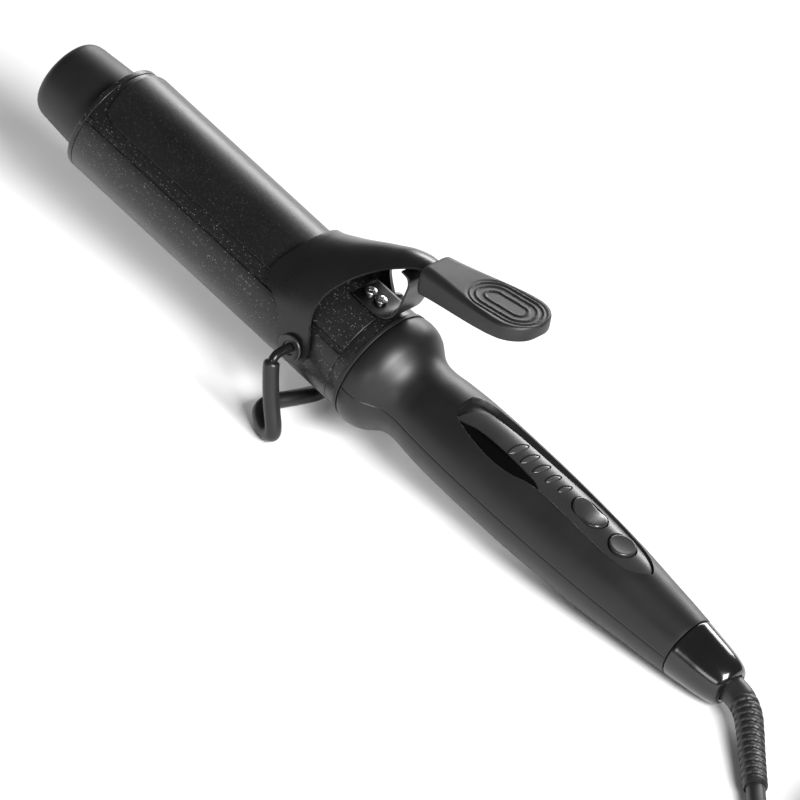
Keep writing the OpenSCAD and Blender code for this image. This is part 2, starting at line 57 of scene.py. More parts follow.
joints = {j["name"]: j for j in frame["joints"]}
axis = Vector(joints["swivel_cap_turn"]["axis"])
hinge = Vector(joints["clamp_hinge"]["pos_m"])
PIVOT_X = -19.5


def place(columns, at):
    """Matrix from millimetres along three directions to metres in the row frame."""
    m = Matrix.Identity(4)
    for i, c in enumerate(columns):
        for k in range(3):
            m[k][i] = c[k] * MM
    for k in range(3):
        m[k][3] = at[k]
    return m


up = Vector((-axis.z, 0, axis.x))
IRON = place((axis, (0, 1, 0), up), hinge - axis * PIVOT_X * MM)
ROW = place(((1, 0, 0), (0, 1, 0), (0, 0, 1)), (0, 0, 0))


# ---- Camera ----

def make_camera():
    data = bpy.data.cameras.new("camera")
    data.sensor_width = 36
    data.lens = 487.5
    data.clip_start, data.clip_end = 0.1, 50
    camera = bpy.data.objects.new("camera", data)
    bpy.context.scene.collection.objects.link(camera)
    right = (0.72146, 0.65047, 0.23746)
    down = (0.54335, -0.31920, -0.77646)
    ahead = (-0.42926, 0.68921, -0.58372)
    turn = Matrix([[right[k], -down[k], -ahead[k]] for k in range(3)])
    camera.matrix_world = Matrix.Translation((1.43822, -2.30050, 1.96873)) @ turn.to_4x4()
    bpy.context.scene.camera = camera


make_camera()


# ---- Points and curves ----

def smooth(points, k):
    """Smooth curve through the points, with k steps between each pair."""
    p = [np.array(q, float) for q in points]
    last = len(p) - 1
    out = []
    for i in range(last):
        a, b, c, d = p[max(i - 1, 0)], p[i], p[i + 1], p[min(i + 2, last)]
        for j in range(k):
            t = j / k
            out.append(0.5 * (2 * b + (c - a) * t + (2 * a - 5 * b + 4 * c - d) * t * t
                              + (3 * b - a - 3 * c + d) * t ** 3))
    return out + [p[last]]


def through(points):
    """Smooth function through points of (x, value)."""
    xs, ys = np.array(points, float).T
    slopes = np.gradient(ys, xs)

    def at(x):
        x = min(max(x, xs[0]), xs[-1])
        i = int(min(max(np.searchsorted(xs, x, "right") - 1, 0), len(xs) - 2))
        h = xs[i + 1] - xs[i]
        t = (x - xs[i]) / h
        return float((1 + 2 * t) * (1 - t) ** 2 * ys[i] + t * (1 - t) ** 2 * h * slopes[i]
                     + t * t * (3 - 2 * t) * ys[i + 1] + t * t * (t - 1) * h * slopes[i + 1])
    return at


def step(t):
    t = min(max(t, 0.0), 1.0)
    return t * t * (3 - 2 * t)


def mix(a, b, t):
    return a + (b - a) * t


def rounded(points, steps=6):
    """Corners of (x, y, size) turned into curves of that size."""
    out = []
    count = len(points)
    for i, p in enumerate(points):
        size = p[2] if len(p) > 2 else 0
        if size == 0 or i in (0, count - 1):
            out.append((p[0], p[1]))
            continue
        b = np.array(p[:2], float)
        a = np.array(points[i - 1][:2], float) - b
        c = np.array(points[i + 1][:2], float) - b
        la, lc = np.linalg.norm(a), np.linalg.norm(c)
        size = min(size, la * 0.5, lc * 0.5)
        for k in range(steps + 1):
            t = k / steps
            q = (1 - t) ** 2 * (b + a / la * size) + 2 * t * (1 - t) * b + t * t * (b + c / lc * size)
            out.append((float(q[0]), float(q[1])))
    return out


def spaced(points, count):
    """The same line with evenly spaced points."""
    p = np.array(points, float)
    run = np.concatenate([[0], np.cumsum(np.linalg.norm(np.diff(p, axis=0), axis=1))])
    at = np.linspace(0, run[-1], count)
    return np.stack([np.interp(at, run, p[:, k]) for k in range(p.shape[1])], axis=1)


def polar(x, r, angle):
    """Point at a station along the iron, a radius and an angle from the top."""
    a = math.radians(angle)
    return (x, -r * math.sin(a), r * math.cos(a))


# ---- Meshes ----

def mesh_piece(name, verts, faces, space=IRON, sharp=38):
    """Closed smooth-shaded mesh from points in the given space."""
    mesh = bpy.data.meshes.new(name)
    mesh.from_pydata([space @ Vector(v) for v in verts], [], faces)
    work = bmesh.new()
    work.from_mesh(mesh)
    bmesh.ops.remove_doubles(work, verts=work.verts, dist=0.002 * MM)
    bmesh.ops.dissolve_degenerate(work, edges=work.edges, dist=0.0005 * MM)
    bmesh.ops.recalc_face_normals(work, faces=work.faces)
    work.to_mesh(mesh)
    work.free()
    mesh.polygons.foreach_set("use_smooth", [True] * len(mesh.polygons))
    mesh.set_sharp_from_angle(angle=math.radians(sharp))
    piece = bpy.data.objects.new(name, mesh)
    bpy.context.scene.collection.objects.link(piece)
    return piece


def grid_faces(rows, cols, wrap_cols=False, wrap_rows=False, first=0):
    faces = []
    for i in range(rows if wrap_rows else rows - 1):
        for j in range(cols if wrap_cols else cols - 1):
            a, b = first + i * cols + j, first + i * cols + (j + 1) % cols
            k = (i + 1) % rows
            faces.append((a, b, first + k * cols + (j + 1) % cols, first + k * cols + j))
    return faces


def slab_faces(rows, cols):
    """Faces of a grid, of the same grid under it and of the wall between them."""
    half = rows * cols
    rim = [(0, j) for j in range(cols)] + [(i, cols - 1) for i in range(1, rows)]
    rim += [(rows - 1, j) for j in range(cols - 2, -1, -1)] + [(i, 0) for i in range(rows - 2, 0, -1)]
    ids = [i * cols + j for i, j in rim]
    faces = grid_faces(rows, cols) + grid_faces(rows, cols, first=half)
    return faces + [(a, b, half + b, half + a) for a, b in zip(ids, ids[1:] + ids[:1])]


def lathe(name, section, closed=True, angles=None, radius_at=None):
    """Solid of revolution about the iron's axis from (x, r) points, closed if it is a ring."""
    angles = list(angles) if angles is not None else [i * 360 / 200 for i in range(200)]
    verts = []
    for x, r in section:
        for a in angles:
            verts.append(polar(x, radius_at(x, r, a) if radius_at else r, a))
    return mesh_piece(name, verts, grid_faces(len(section), len(angles), True, closed))


def sweep(name, route, radius_at, sides=24, space=IRON):
    """Tube along a route; radius_at gives the radius from the run along it and the angle round it."""
    p = np.array(route, float)
    t = np.gradient(p, axis=0)
    t /= np.linalg.norm(t, axis=1)[:, None]
    n = np.cross(t[0], (0, 0, 1) if abs(t[0][2]) < 0.8 else (1, 0, 0))
    run = np.concatenate([[0], np.cumsum(np.linalg.norm(np.diff(p, axis=0), axis=1))])
    verts = []
    for i in range(len(p)):
        n = n - t[i] * (n @ t[i])
        n /= np.linalg.norm(n)
        m = np.cross(t[i], n)
        for j in range(sides):
            a = 2 * math.pi * j / sides
            verts.append(p[i] + radius_at(run[i], a, run[-1]) * (math.cos(a) * n + math.sin(a) * m))
    faces = grid_faces(len(p), sides, True)
    faces.append(tuple(range(sides))[::-1])
    faces.append(tuple((len(p) - 1) * sides + j for j in range(sides)))
    return mesh_piece(name, verts, faces, space)


def sheet_solid(name, grid, thick, edge, sharp=38):
    """Sheet of even thickness under a grid of points, with softened edges."""
    g = np.array(grid, float)
    rows, cols = g.shape[:2]
    du, dv = np.gradient(g, axis=1), np.gradient(g, axis=0)
    n = np.cross(du, dv)
    n /= np.maximum(np.linalg.norm(n, axis=2), 1e-9)[:, :, None]
    inner = g - n * thick
    verts = list(g.reshape(-1, 3)) + list(inner.reshape(-1, 3))
    piece = mesh_piece(name, verts, slab_faces(rows, cols), sharp=sharp)
    soften(piece, edge)
    return piece


def soften(piece, size, segments=3, angle=40):
    """Rounds a piece's sharp edges."""
    bevel = piece.modifiers.new("soften", "BEVEL")
    bevel.width = size * MM
    bevel.segments = segments
    bevel.limit_method = "ANGLE"
    bevel.angle_limit = math.radians(angle)
    bevel.use_clamp_overlap = True
    bevel.harden_normals = True


def cut(piece, cutters):
    """Takes the cutters out of a piece and removes them."""
    for cutter in cutters:
        m = piece.modifiers.new("cut", "BOOLEAN")
        m.operation, m.solver, m.object = "DIFFERENCE", "EXACT", cutter
        bpy.context.view_layer.update()
        done = bpy.data.meshes.new_from_object(
            piece.evaluated_get(bpy.context.evaluated_depsgraph_get()))
        piece.modifiers.remove(m)
        piece.data = done
        bpy.data.objects.remove(cutter)
    piece.data.polygons.foreach_set("use_smooth", [True] * len(piece.data.polygons))
    piece.data.set_sharp_from_angle(angle=math.radians(32))
    piece.data.name = piece.name


def outline_normals(points):
    p = np.array(points, float)
    t = np.roll(p, -1, axis=0) - np.roll(p, 1, axis=0)
    n = np.stack([-t[:, 1], t[:, 0]], axis=1)
    return n / np.linalg.norm(n, axis=1)[:, None]


def key_points(outline, top, fillet, bottom, rings=10, steps=6):
    """Solid key: an outline run anticlockwise, a top height function and a rounded upper edge."""
    p = np.array(outline, float)
    inward = outline_normals(p)
    centre = p.mean(axis=0)
    count = len(p)
    verts = [(x, y, bottom) for x, y in p]
    for k in range(steps + 1):
        a = math.pi / 2 * k / steps
        q = p + inward * fillet * (1 - math.cos(a))
        verts += [(x, y, top(x, y) - fillet * (1 - math.sin(a))) for x, y in q]
    for k in range(1, rings):
        r = q + (centre - q) * k / rings
        verts += [(x, y, top(x, y)) for x, y in r]
    levels = steps + 1 + rings
    faces = grid_faces(levels, count, True)
    verts.append((centre[0], centre[1], top(*centre)))
    last = (levels - 1) * count
    faces += [(last + j, last + (j + 1) % count, len(verts) - 1) for j in range(count)]
    faces.append(tuple(range(count))[::-1])
    return verts, faces


def join_parts(parts):
    """Several lists of points and faces as one."""
    verts, faces = [], []
    for v, f in parts:
        faces += [tuple(i + len(verts) for i in face) for face in f]
        verts += list(v)
    return verts, faces


def stadium(x, y, length, width, count=48):
    """Outline with round ends, run anticlockwise."""
    r = width / 2
    half = length / 2 - r
    out = []
    for i in range(count):
        a = 2 * math.pi * (i + 0.5) / count - math.pi / 2
        out.append((x + (half if math.cos(a) > 0 else -half) + r * math.cos(a), y + r * math.sin(a)))
    return [tuple(q) for q in spaced(out + out[:1], count + 1)[:-1]]


def prism(name, outline, z0, z1):
    count = len(outline)
    verts = [(x, y, z) for z in (z0, z1) for x, y in outline]
    faces = grid_faces(2, count, True)
    faces += [tuple(range(count))[::-1], tuple(count + j for j in range(count))]
    return mesh_piece(name, verts, faces)


# ---- Materials ----

class Nodes:
    """Short names for building one material's node tree."""

    def __init__(self, name):
        self.material = bpy.data.materials.new(name)
        self.material.use_nodes = True
        self.tree = self.material.node_tree
        self.shader = self.tree.nodes["Principled BSDF"]
        self.place = self.add("ShaderNodeTexCoord").outputs["Object"]

    def add(self, kind, inputs=None, **settings):
        node = self.tree.nodes.new(kind)
        for key, value in settings.items():
            setattr(node, key, value)
        for key, value in (inputs or {}).items():
            if isinstance(value, bpy.types.NodeSocket):
                self.tree.links.new(value, node.inputs[key])
            else:
                node.inputs[key].default_value = value
        return node

    def noise(self, size_mm, detail=3, stretch=None):
        """Noise of that feature size; stretch makes it longer along x, y or z."""
        at = self.place
        if stretch:
            at = self.add("ShaderNodeMapping", {"Vector": at, "Scale": stretch}).outputs[0]
        return self.add("ShaderNodeTexNoise", {"Vector": at, "Scale": 1 / (size_mm * MM),
                                               "Detail": detail}).outputs["Fac"]

    def ranged(self, value, low, high, from_low=0.3, from_high=0.7):
        return self.add("ShaderNodeMapRange", {"Value": value, "From Min": from_low,
                        "From Max": from_high, "To Min": low, "To Max": high}).outputs[0]

    def math(self, operation, a, b=0.0):
        return self.add("ShaderNodeMath", {0: a, 1: b}, operation=operation).outputs[0]

    def blend(self, amount, a, b):
        node = self.add("ShaderNodeMix", {"Factor": amount}, data_type="RGBA")
        for socket, value in ((node.inputs[6], a), (node.inputs[7], b)):
            if isinstance(value, bpy.types.NodeSocket):
                self.tree.links.new(value, socket)
            else:
                socket.default_value = value
        return node.outputs[2]

    def link(self, value, socket):
        self.tree.links.new(value, self.shader.inputs[socket])

    def bump(self, height, strength, distance_mm=0.05):
        node = self.add("ShaderNodeBump", {"Height": height, "Strength": strength,
                                           "Distance": distance_mm * MM})
        self.link(node.outputs[0], "Normal")


def grey(value, tint=0.0):
    return (value, value, value * (1 + tint), 1)


def worn(name, colour, rough, metal=0.0, grain_mm=0.25, bump=0.25, spread=0.12, coat=0.0,
         specular=0.5, stretch=None, coat_rough=0.05):
    """Moulded, rubber or metal surface: fine grain, slow shifts of colour and of gloss."""
    n = Nodes(name)
    slow = n.noise(14, 4, stretch)
    fine = n.noise(grain_mm, 2, stretch)
    dark = tuple(c * (1 - spread) for c in colour[:3]) + (1,)
    light = tuple(min(1, c * (1 + spread)) for c in colour[:3]) + (1,)
    n.link(n.blend(n.ranged(slow, 0, 1), dark, light), "Base Color")
    gloss = n.math("ADD", n.ranged(slow, rough * 0.9, rough * 1.08), n.ranged(fine, -0.02, 0.02))
    n.link(gloss, "Roughness")
    n.shader.inputs["Metallic"].default_value = metal
    n.shader.inputs["Coat Weight"].default_value = coat
    n.shader.inputs["Coat Roughness"].default_value = coat_rough
    n.shader.inputs["Specular IOR Level"].default_value = specular
    n.bump(fine, bump)
    return n.material


def speckled(name, base, fleck, rough, fleck_mm, share, bright):
    """Dark coating with bright mineral flecks of varied brightness."""
    n = Nodes(name)
    cells = n.add("ShaderNodeTexVoronoi", {"Vector": n.place, "Scale": 1 / (fleck_mm * MM)})
    split = n.add("ShaderNodeSeparateColor", {0: cells.outputs["Color"]})
    chosen = n.math("GREATER_THAN", split.outputs[0], 1 - share)
    core = n.ranged(cells.outputs["Distance"], 1, 0, 0.18, 0.42)
    level = n.math("POWER", split.outputs[1], 2.2)
    mask = n.math("MULTIPLY", n.math("MULTIPLY", chosen, core), level)
    patch = n.ranged(n.noise(3.5, 3), 0.45, 1)
    mask = n.math("MULTIPLY", mask, patch)
    slow = n.noise(22, 3)
    ground = n.blend(n.ranged(slow, 0, 1), grey(base * 0.8), grey(base * 1.2))
    n.link(n.blend(mask, ground, grey(fleck, 0.03)), "Base Color")
    n.link(n.math("MULTIPLY", mask, bright), "Metallic")
    gloss = n.ranged(slow, rough * 0.92, rough * 1.08)
    n.link(n.math("ADD", gloss, n.ranged(n.noise(0.3, 2), -0.03, 0.03)), "Roughness")
    n.bump(split.outputs[2], 0.35, 0.02)
    return n.material


M = {
    "barrel": speckled("barrel_speckle", 0.005, 0.45, 0.34, 0.4, 0.24, 0.5),
    "clamp": speckled("clamp_speckle", 0.004, 0.2, 0.36, 0.26, 0.24, 0.4),
    "lever": worn("lever_enamel", grey(0.006), 0.3, grain_mm=0.5, bump=0.12),
    "tip": worn("tip_plastic", grey(0.006), 0.5, grain_mm=0.35, bump=0.3),
    "grip": worn("grip_plastic", grey(0.008), 0.5, grain_mm=0.35, bump=0.3),
    "shell": worn("soft_touch_black", grey(0.005), 0.44, grain_mm=0.22, bump=0.16, spread=0.06),
    "panel": worn("panel_satin", grey(0.02), 0.33, grain_mm=0.3, bump=0.12),
    # Painted shade: near-black gloss for the inlay laid where the recess's near slope falls dark.
    "painted_shade": worn("painted_shade_gloss", grey(0.001), 0.16, grain_mm=0.6, bump=0.02, specular=0.25),
    "well": worn("panel_well", grey(0.001), 0.6, grain_mm=0.4, bump=0.2, specular=0.2),
    "key": worn("key_gloss", grey(0.018), 0.3, grain_mm=0.5, bump=0.06, coat=0.3),
    "lens": worn("lens_smoke", grey(0.035), 0.25, grain_mm=0.5, bump=0.06, coat=0.4),
    "cone": worn("cone_gloss", grey(0.0045), 0.17, grain_mm=0.6, bump=0.06, spread=0.2, coat=0.3,
                 coat_rough=0.12),
    "guard": worn("guard_rubber", grey(0.012), 0.42, grain_mm=0.4, bump=0.3),
    "rubber": worn("sleeve_rubber", grey(0.008), 0.38, grain_mm=0.5, bump=0.3),
    "cord": worn("cord_cover", grey(0.012), 0.45, grain_mm=0.5, bump=0.25),
    "steel": worn("steel_screw", grey(0.55), 0.28, metal=1, grain_mm=0.4, bump=0.15),
    "dark_steel": worn("dark_steel", grey(0.06), 0.3, metal=0.8, grain_mm=0.4, bump=0.15),
    "wire": worn("black_wire", grey(0.02), 0.26, metal=0.6, grain_mm=0.5, bump=0.1),
    "spring": worn("spring_steel", grey(0.05), 0.32, metal=1, grain_mm=0.3, bump=0.2),
    "brass": worn("brass_plate", (0.72, 0.55, 0.28, 1), 0.25, metal=1, grain_mm=0.5, bump=0.1),
    "alloy": worn("extruded_alloy", grey(0.7), 0.35, metal=1, grain_mm=0.4, bump=0.2,
                  stretch=(0.08, 1, 1)),
    "phenolic": worn("phenolic_tan", (0.32, 0.2, 0.1, 1), 0.55, grain_mm=0.5, bump=0.3),
    "ceramic": worn("ptc_ceramic", (0.12, 0.1, 0.085, 1), 0.7, grain_mm=0.5, bump=0.4),
    "leads": worn("silicone_lead", (0.6, 0.56, 0.48, 1), 0.5, grain_mm=0.5, bump=0.15),
    "board": worn("board_green", (0.02, 0.16, 0.07, 1), 0.35, grain_mm=0.8, bump=0.1),
    "sensor": worn("sensor_enamel", (0.45, 0.12, 0.05, 1), 0.3, grain_mm=0.5, bump=0.1),
    "chip": worn("chip_resin", (0.8, 0.78, 0.7, 1), 0.3, grain_mm=0.5, bump=0.05),
    "tie": worn("tie_weave", grey(0.02), 0.8, grain_mm=0.5, bump=0.8),
    "floor": worn("paper_floor", grey(0.86), 0.75, grain_mm=2, bump=0.05, spread=0.01),
}


def fit(piece, body, slot, material, *nodes):
    """Finish a piece: material, body that it rides on and the CAD nodes it stands for; the material slot
    argument is not used.
    """
    piece.data.materials.clear()
    piece.data.materials.append(M[material])
    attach(piece, body)
    if nodes:
        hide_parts(*nodes)
    return piece


# ---- Cord, its guard and its plug ----

CORD_D = 6
COIL_AT = (248, -8)
COIL_LAYERS = 4
PLUG_AT = (288, -48, 9.5)
guard_route = [(141, 0, 9), (145, 0, 8.5), (149.5, 0, 7.95), (154, -0.8, 7.3), (159, -3.5, 6.6),
               (164, -8, 5.9), (169, -13, 5.3), (175, -19, 4.8), (182, -26, 4.4)]
cord_route = [(182, -26, 4.4), (187, -31, 4.1), (192, -35.8, 3.7), (197.5, -40.2, 3.3), (204, -44, 3.1),
              (211.5, -46.8, 3), (219.5, -47.9, 3), (227, -48, 3), (234, -48, 3), (241, -48, 3),
              (248, -48, 3)]
tail_route = [(248, -48, 21), (255, -48, 20.3), (262, -48, 18), (269, -48, 15), (275.5, -48, 12.3),
              (282, -48, 10.3), (288, -48, 9.5)]


def coil_points():
    """Turns wound in and out in layers, from the outside of the lowest to that of the highest."""
    out = []
    outer, inner, per_turn = 40, 28, 48
    angle = 270.0
    for layer in range(COIL_LAYERS):
        z = CORD_D * (layer + 0.5)
        start, end = (outer, inner) if layer % 2 == 0 else (inner, outer)
        for i in range(2 * per_turn + 1):
            out.append((start + (end - start) * i / (2 * per_turn), angle + i * 360 / per_turn, z))
        angle += 720
        if layer < COIL_LAYERS - 1:
            for i in range(1, per_turn // 3):
                out.append((end, angle + i * 360 / per_turn, z + CORD_D * step(3 * i / per_turn)))
            angle += 120
    return [(COIL_AT[0] + r * math.cos(math.radians(a)), COIL_AT[1] + r * math.sin(math.radians(a)), z)
            for r, a, z in out]


def make_cord():
    points = smooth(cord_route, 4)[:-1] + coil_points() + smooth(tail_route, 4)[1:]
    curve = bpy.data.curves.new("mains_cord", "CURVE")
    curve.dimensions = "3D"
    spline = curve.splines.new("POLY")
    spline.points.add(len(points) - 1)
    for point, p in zip(spline.points, points):
        point.co = (p[0] * MM, p[1] * MM, p[2] * MM, 1)
    curve.bevel_depth = CORD_D / 2 * MM
    curve.bevel_resolution = 6
    curve.use_fill_caps = True
    cord = bpy.data.objects.new("mains_cord", curve)
    bpy.context.scene.collection.objects.link(cord)
    p = np.array(points)
    length = float(np.linalg.norm(np.diff(p, axis=0), axis=1).sum()) * MM
    return fit(cord, "root", "rubber", "cord", "power_cord", "cord_coil", "cord_tail"), length


def make_guard():
    """Moulded strain relief: smooth where it leaves the cone, then staggered ribs."""
    base = through([(0, 4.5), (10, 4.65), (20, 4.5), (34, 4.2), (60, 3.75)])

    def radius(run, angle, total):
        ribs = step((run - 13) / 3) * step((total - run) / 2)
        wave = math.cos(2 * math.pi * run / 2.9 + angle)
        slot = step((wave + 0.35) / 0.5)
        return (base(run) - 0.55 * ribs * (1 - slot)) * (0.9 + 0.1 * step((total - run) / 0.8))
    route = spaced(smooth(guard_route, 12), 190)
    guard = sweep("strain_relief", route, radius, 40, ROW)
    return fit(guard, "root", "rubber", "guard", "cord_guard")


def box_section(half_w, top, bottom, corner, count=6):
    """Rounded rectangle across an axis, anticlockwise from the lower right corner."""
    out = []
    corner = min(corner, half_w * 0.99, (top - bottom) / 2 * 0.99)
    for cx, cz, start in ((half_w - corner, bottom + corner, -90), (half_w - corner, top - corner, 0),
                          (-half_w + corner, top - corner, 90), (-half_w + corner, bottom + corner, 180)):
        for k in range(count + 1):
            a = math.radians(start + 90 * k / count)
            out.append((cx + corner * math.cos(a), cz + corner * math.sin(a)))
    return out


def make_plug():
    space = Matrix.Translation(Vector(PLUG_AT) * MM) @ ROW
    width = through([(0, 4.6), (4, 5.2), (10, 8.6), (16, 10.6), (24, 10.9), (29, 11), (32.5, 12.7),
                     (35, 12.9)])
    deep = through([(0, 4.6), (4, 5), (10, 7), (16, 8.3), (24, 8.5), (29, 8.7), (32.5, 9.2), (35, 9.2)])
    verts = []
    stations = [0, 0.4] + [1 + 0.5 * i for i in range(67)] + [34.6, 35]
    for x in stations:
        shrink = 0.9 if x in (0, 35) else 1
        rib = 0.45 * step(math.cos(2 * math.pi * x / 3.2) * 1.5) if 14 < x < 28 else 0
        w, t = (width(x) - rib) * shrink, (deep(x) - rib) * shrink
        verts += [(x, y, z) for y, z in box_section(w, t, -t, mix(4.4, 3.2, step(x / 20)))]
    count = len(box_section(5, 5, -5, 1))
    faces = grid_faces(len(stations), count, True)
    faces += [tuple(range(count)), tuple((len(stations) - 1) * count + j for j in range(count))[::-1]]
    plug = mesh_piece("mains_plug", verts, faces, space)
    return fit(plug, "root", "rubber", "rubber", "plug_body")


def make_tie():
    """Woven strap round the coil with a lapped end."""
    rows, middle, half_w, height = 26, 34, 9, COIL_LAYERS * CORD_D
    parts = []
    for outer, width in ((0.75, 14), (0.88, 9)):
        verts = []
        section = box_section(half_w + outer, height + outer, -outer, 3.4)
        inner = box_section(half_w + outer - 0.55, height + outer - 0.55, -outer + 0.55, 2.9)
        for i in range(rows):
            a = math.radians(128 + (i / (rows - 1) - 0.5) * width)
            for s in (section, inner):
                verts += [(COIL_AT[0] + (middle + y) * math.cos(a),
                           COIL_AT[1] + (middle + y) * math.sin(a), max(z, 0.05)) for y, z in s]
        count = len(section)
        faces = []
        for i in range(rows - 1):
            for j in range(count):
                k = (j + 1) % count
                a, b = i * 2 * count, (i + 1) * 2 * count
                faces += [(a + j, a + k, b + k, b + j),
                          (a + count + k, a + count + j, b + count + j, b + count + k)]
        for j in range(count):
            k = (j + 1) % count
            end = (rows - 1) * 2 * count
            faces += [(k, j, count + j, count + k), (end + j, end + k, end + count + k, end + count + j)]
        parts.append((verts, faces))
    tie = mesh_piece("cord_strap", *join_parts(parts), ROW)
    return fit(tie, "root", "rubber", "tie", "cord_tie")


cord, cord_length = make_cord()
guard = make_guard()
plug = make_plug()
tie = make_tie()


# ---- Barrel and tip ----

BARREL_R = 19
BARREL_IN = 17.4
FLANGE_X = -120.2
TIP_X = -122.2
TIP_LEN = 22
RING_X = -5
RIM_X = -1
GROOVE_ANGLE = 64
GROOVE_W = 2
GROOVE_DEPTH = 0.55


def barrel_angles():
    """Even steps with extra ones at the grooves' edges."""
    half = math.degrees(GROOVE_W / 2 / BARREL_R)
    edges = [side * GROOVE_ANGLE + s * half + d for side in (-1, 1) for s in (-1, 1)
             for d in (-0.45, -0.15, 0.15, 0.45)]
    even = [i * 2.0 - 180 for i in range(180)]
    return sorted(even + edges)


def groove_cut(x, r, angle):
    """Radius with the two shallow grooves taken off."""
    away = abs(abs(angle) - GROOVE_ANGLE) / math.degrees(1 / BARREL_R)
    return min(r, BARREL_R - GROOVE_DEPTH * (1 - step((away - GROOVE_W / 2 + 0.12) / 0.24)))


def make_barrel():
    section = rounded([(FLANGE_X + 0.08, BARREL_IN), (FLANGE_X + 0.08, BARREL_R, 0.25),
                       (RING_X, BARREL_R, 0.25), (RING_X, BARREL_IN)], steps=3)
    barrel = lathe("heated_barrel", section, True, barrel_angles(), groove_cut)
    fit(barrel, "root", "barrel_coating", "barrel", "barrel")

    section = rounded([(TIP_X, 4), (TIP_X, BARREL_R, 0.55), (FLANGE_X - 0.08, BARREL_R, 0.2),
                       (FLANGE_X - 0.08, 4)], steps=4)
    flange = lathe("barrel_end_flange", section, True)
    keys = []
    for side in (-1, 1):
        mid = side * GROOVE_ANGLE
        wide = math.degrees((GROOVE_W / 2 - 0.15) / BARREL_R)
        corners = [(x, r, a) for x in (TIP_X + 0.6, FLANGE_X + 1.6) for r in (16, BARREL_R - 0.02)
                   for a in (mid - wide, mid + wide)]
        verts = [polar(*c) for c in corners]
        keys.append((verts, [(0, 1, 3, 2), (4, 6, 7, 5), (0, 4, 5, 1), (2, 3, 7, 6), (0, 2, 6, 4),
                             (1, 5, 7, 3)]))
    tabs = mesh_piece("flange_key_tabs", *join_parts(keys))
    soften(tabs, 0.2)
    fit(flange, "root", "barrel_coating", "barrel", "end_flange")
    fit(tabs, "root", "barrel_coating", "lever")

    end = TIP_X - TIP_LEN
    section = rounded([(end, 0), (end + 0.3, 3), (end, 13.6, 5), (TIP_X - 0.9, 15.3, 0.2),
                       (TIP_X - 0.7, 14.9), (TIP_X - 0.02, 14.9), (TIP_X - 0.02, 0)], steps=9)
    cap = lathe("cool_tip", section, False)
    fit(cap, "root", "heatproof_plastic", "tip", "tip_cap")

    section = rounded([(RING_X + 0.12, BARREL_IN), (RING_X + 0.12, BARREL_R, 0.25),
                       (RIM_X - 0.1, BARREL_R, 0.2), (RIM_X - 0.1, BARREL_IN)], steps=3)
    ring = lathe("rear_ring", section, True)
    fit(ring, "root", "barrel_coating", "barrel", "barrel_ring")

    section = rounded([(RIM_X, 16.8), (RIM_X, 19.65, 0.45), (0.5, 19.75, 0.2), (0.5, 16.8)], steps=4)
    rim = lathe("handle_rim", section, True)
    fit(rim, "root", "heatproof_plastic", "grip", "collar_rim")


make_barrel()


# ---- Clamp ----

PLATE_IN = BARREL_R + 0.2
PLATE_T = 0.7
SHEET = 1.1
PLATE_HALF = 52
PLATE_FRONT = -118.2
PLATE_BACK = -27
LEVER_HALF_W = 21.5
TONGUE_NARROW = 2.2
TONGUE_FROM, TONGUE_FADE = 26, 8
EAR_R = 6
crest = through([(-41, 21.6), (-36, 23.6), (-31.5, 26.4), (-27, 29.5), (-22.5, 32.8), (-18, 36),
                 (-13, 39.3), (-8.5, 42.2), (-4, 44.2), (2, 45.6), (5, 46)])


def make_plate():
    """Trough-shaped plate with a bowed front edge and rounded corners."""
    rows, cols = 90, 72
    grid = []
    for i in range(rows):
        u = i / (rows - 1)
        row = []
        for j in range(cols):
            v = 2 * j / (cols - 1) - 1
            front = PLATE_FRONT + 3.4 * abs(v) ** 3 + 3.2 * step((abs(v) - 0.86) / 0.14) ** 2
            x = mix(front, PLATE_BACK, u)
            row.append(polar(x, PLATE_IN + PLATE_T, -v * PLATE_HALF))
        grid.append(row)
    plate = sheet_solid("clamp_plate_sheet", grid, -PLATE_T if plate_faces_in(grid) else PLATE_T, 0.2)
    fit(plate, "clamp", "clamp_coating", "clamp", "clamp_plate")


def plate_faces_in(grid):
    """True if a grid's normals point to the axis, so the thickness goes the other way."""
    g = np.array(grid, float)
    i, j = g.shape[0] // 2, g.shape[1] // 2
    n = np.cross(g[i, j + 1] - g[i, j], g[i + 1, j] - g[i, j])
    return n @ np.array([0, g[i, j, 1], g[i, j, 2]]) < 0


def lever_point(x, angle):
    """Point on the lever's arched face, which gets higher and narrower towards the grip."""
    a = math.radians(angle)
    fade = step((crest(x) - TONGUE_FROM) / TONGUE_FADE)
    half = LEVER_HALF_W - TONGUE_NARROW * max(0, math.cos(a)) * fade
    return (x, -half * math.sin(a), crest(x) * math.cos(a))


def lever_angle(x, z):
    return math.degrees(math.acos(min(1, max(-1, z / crest(x)))))


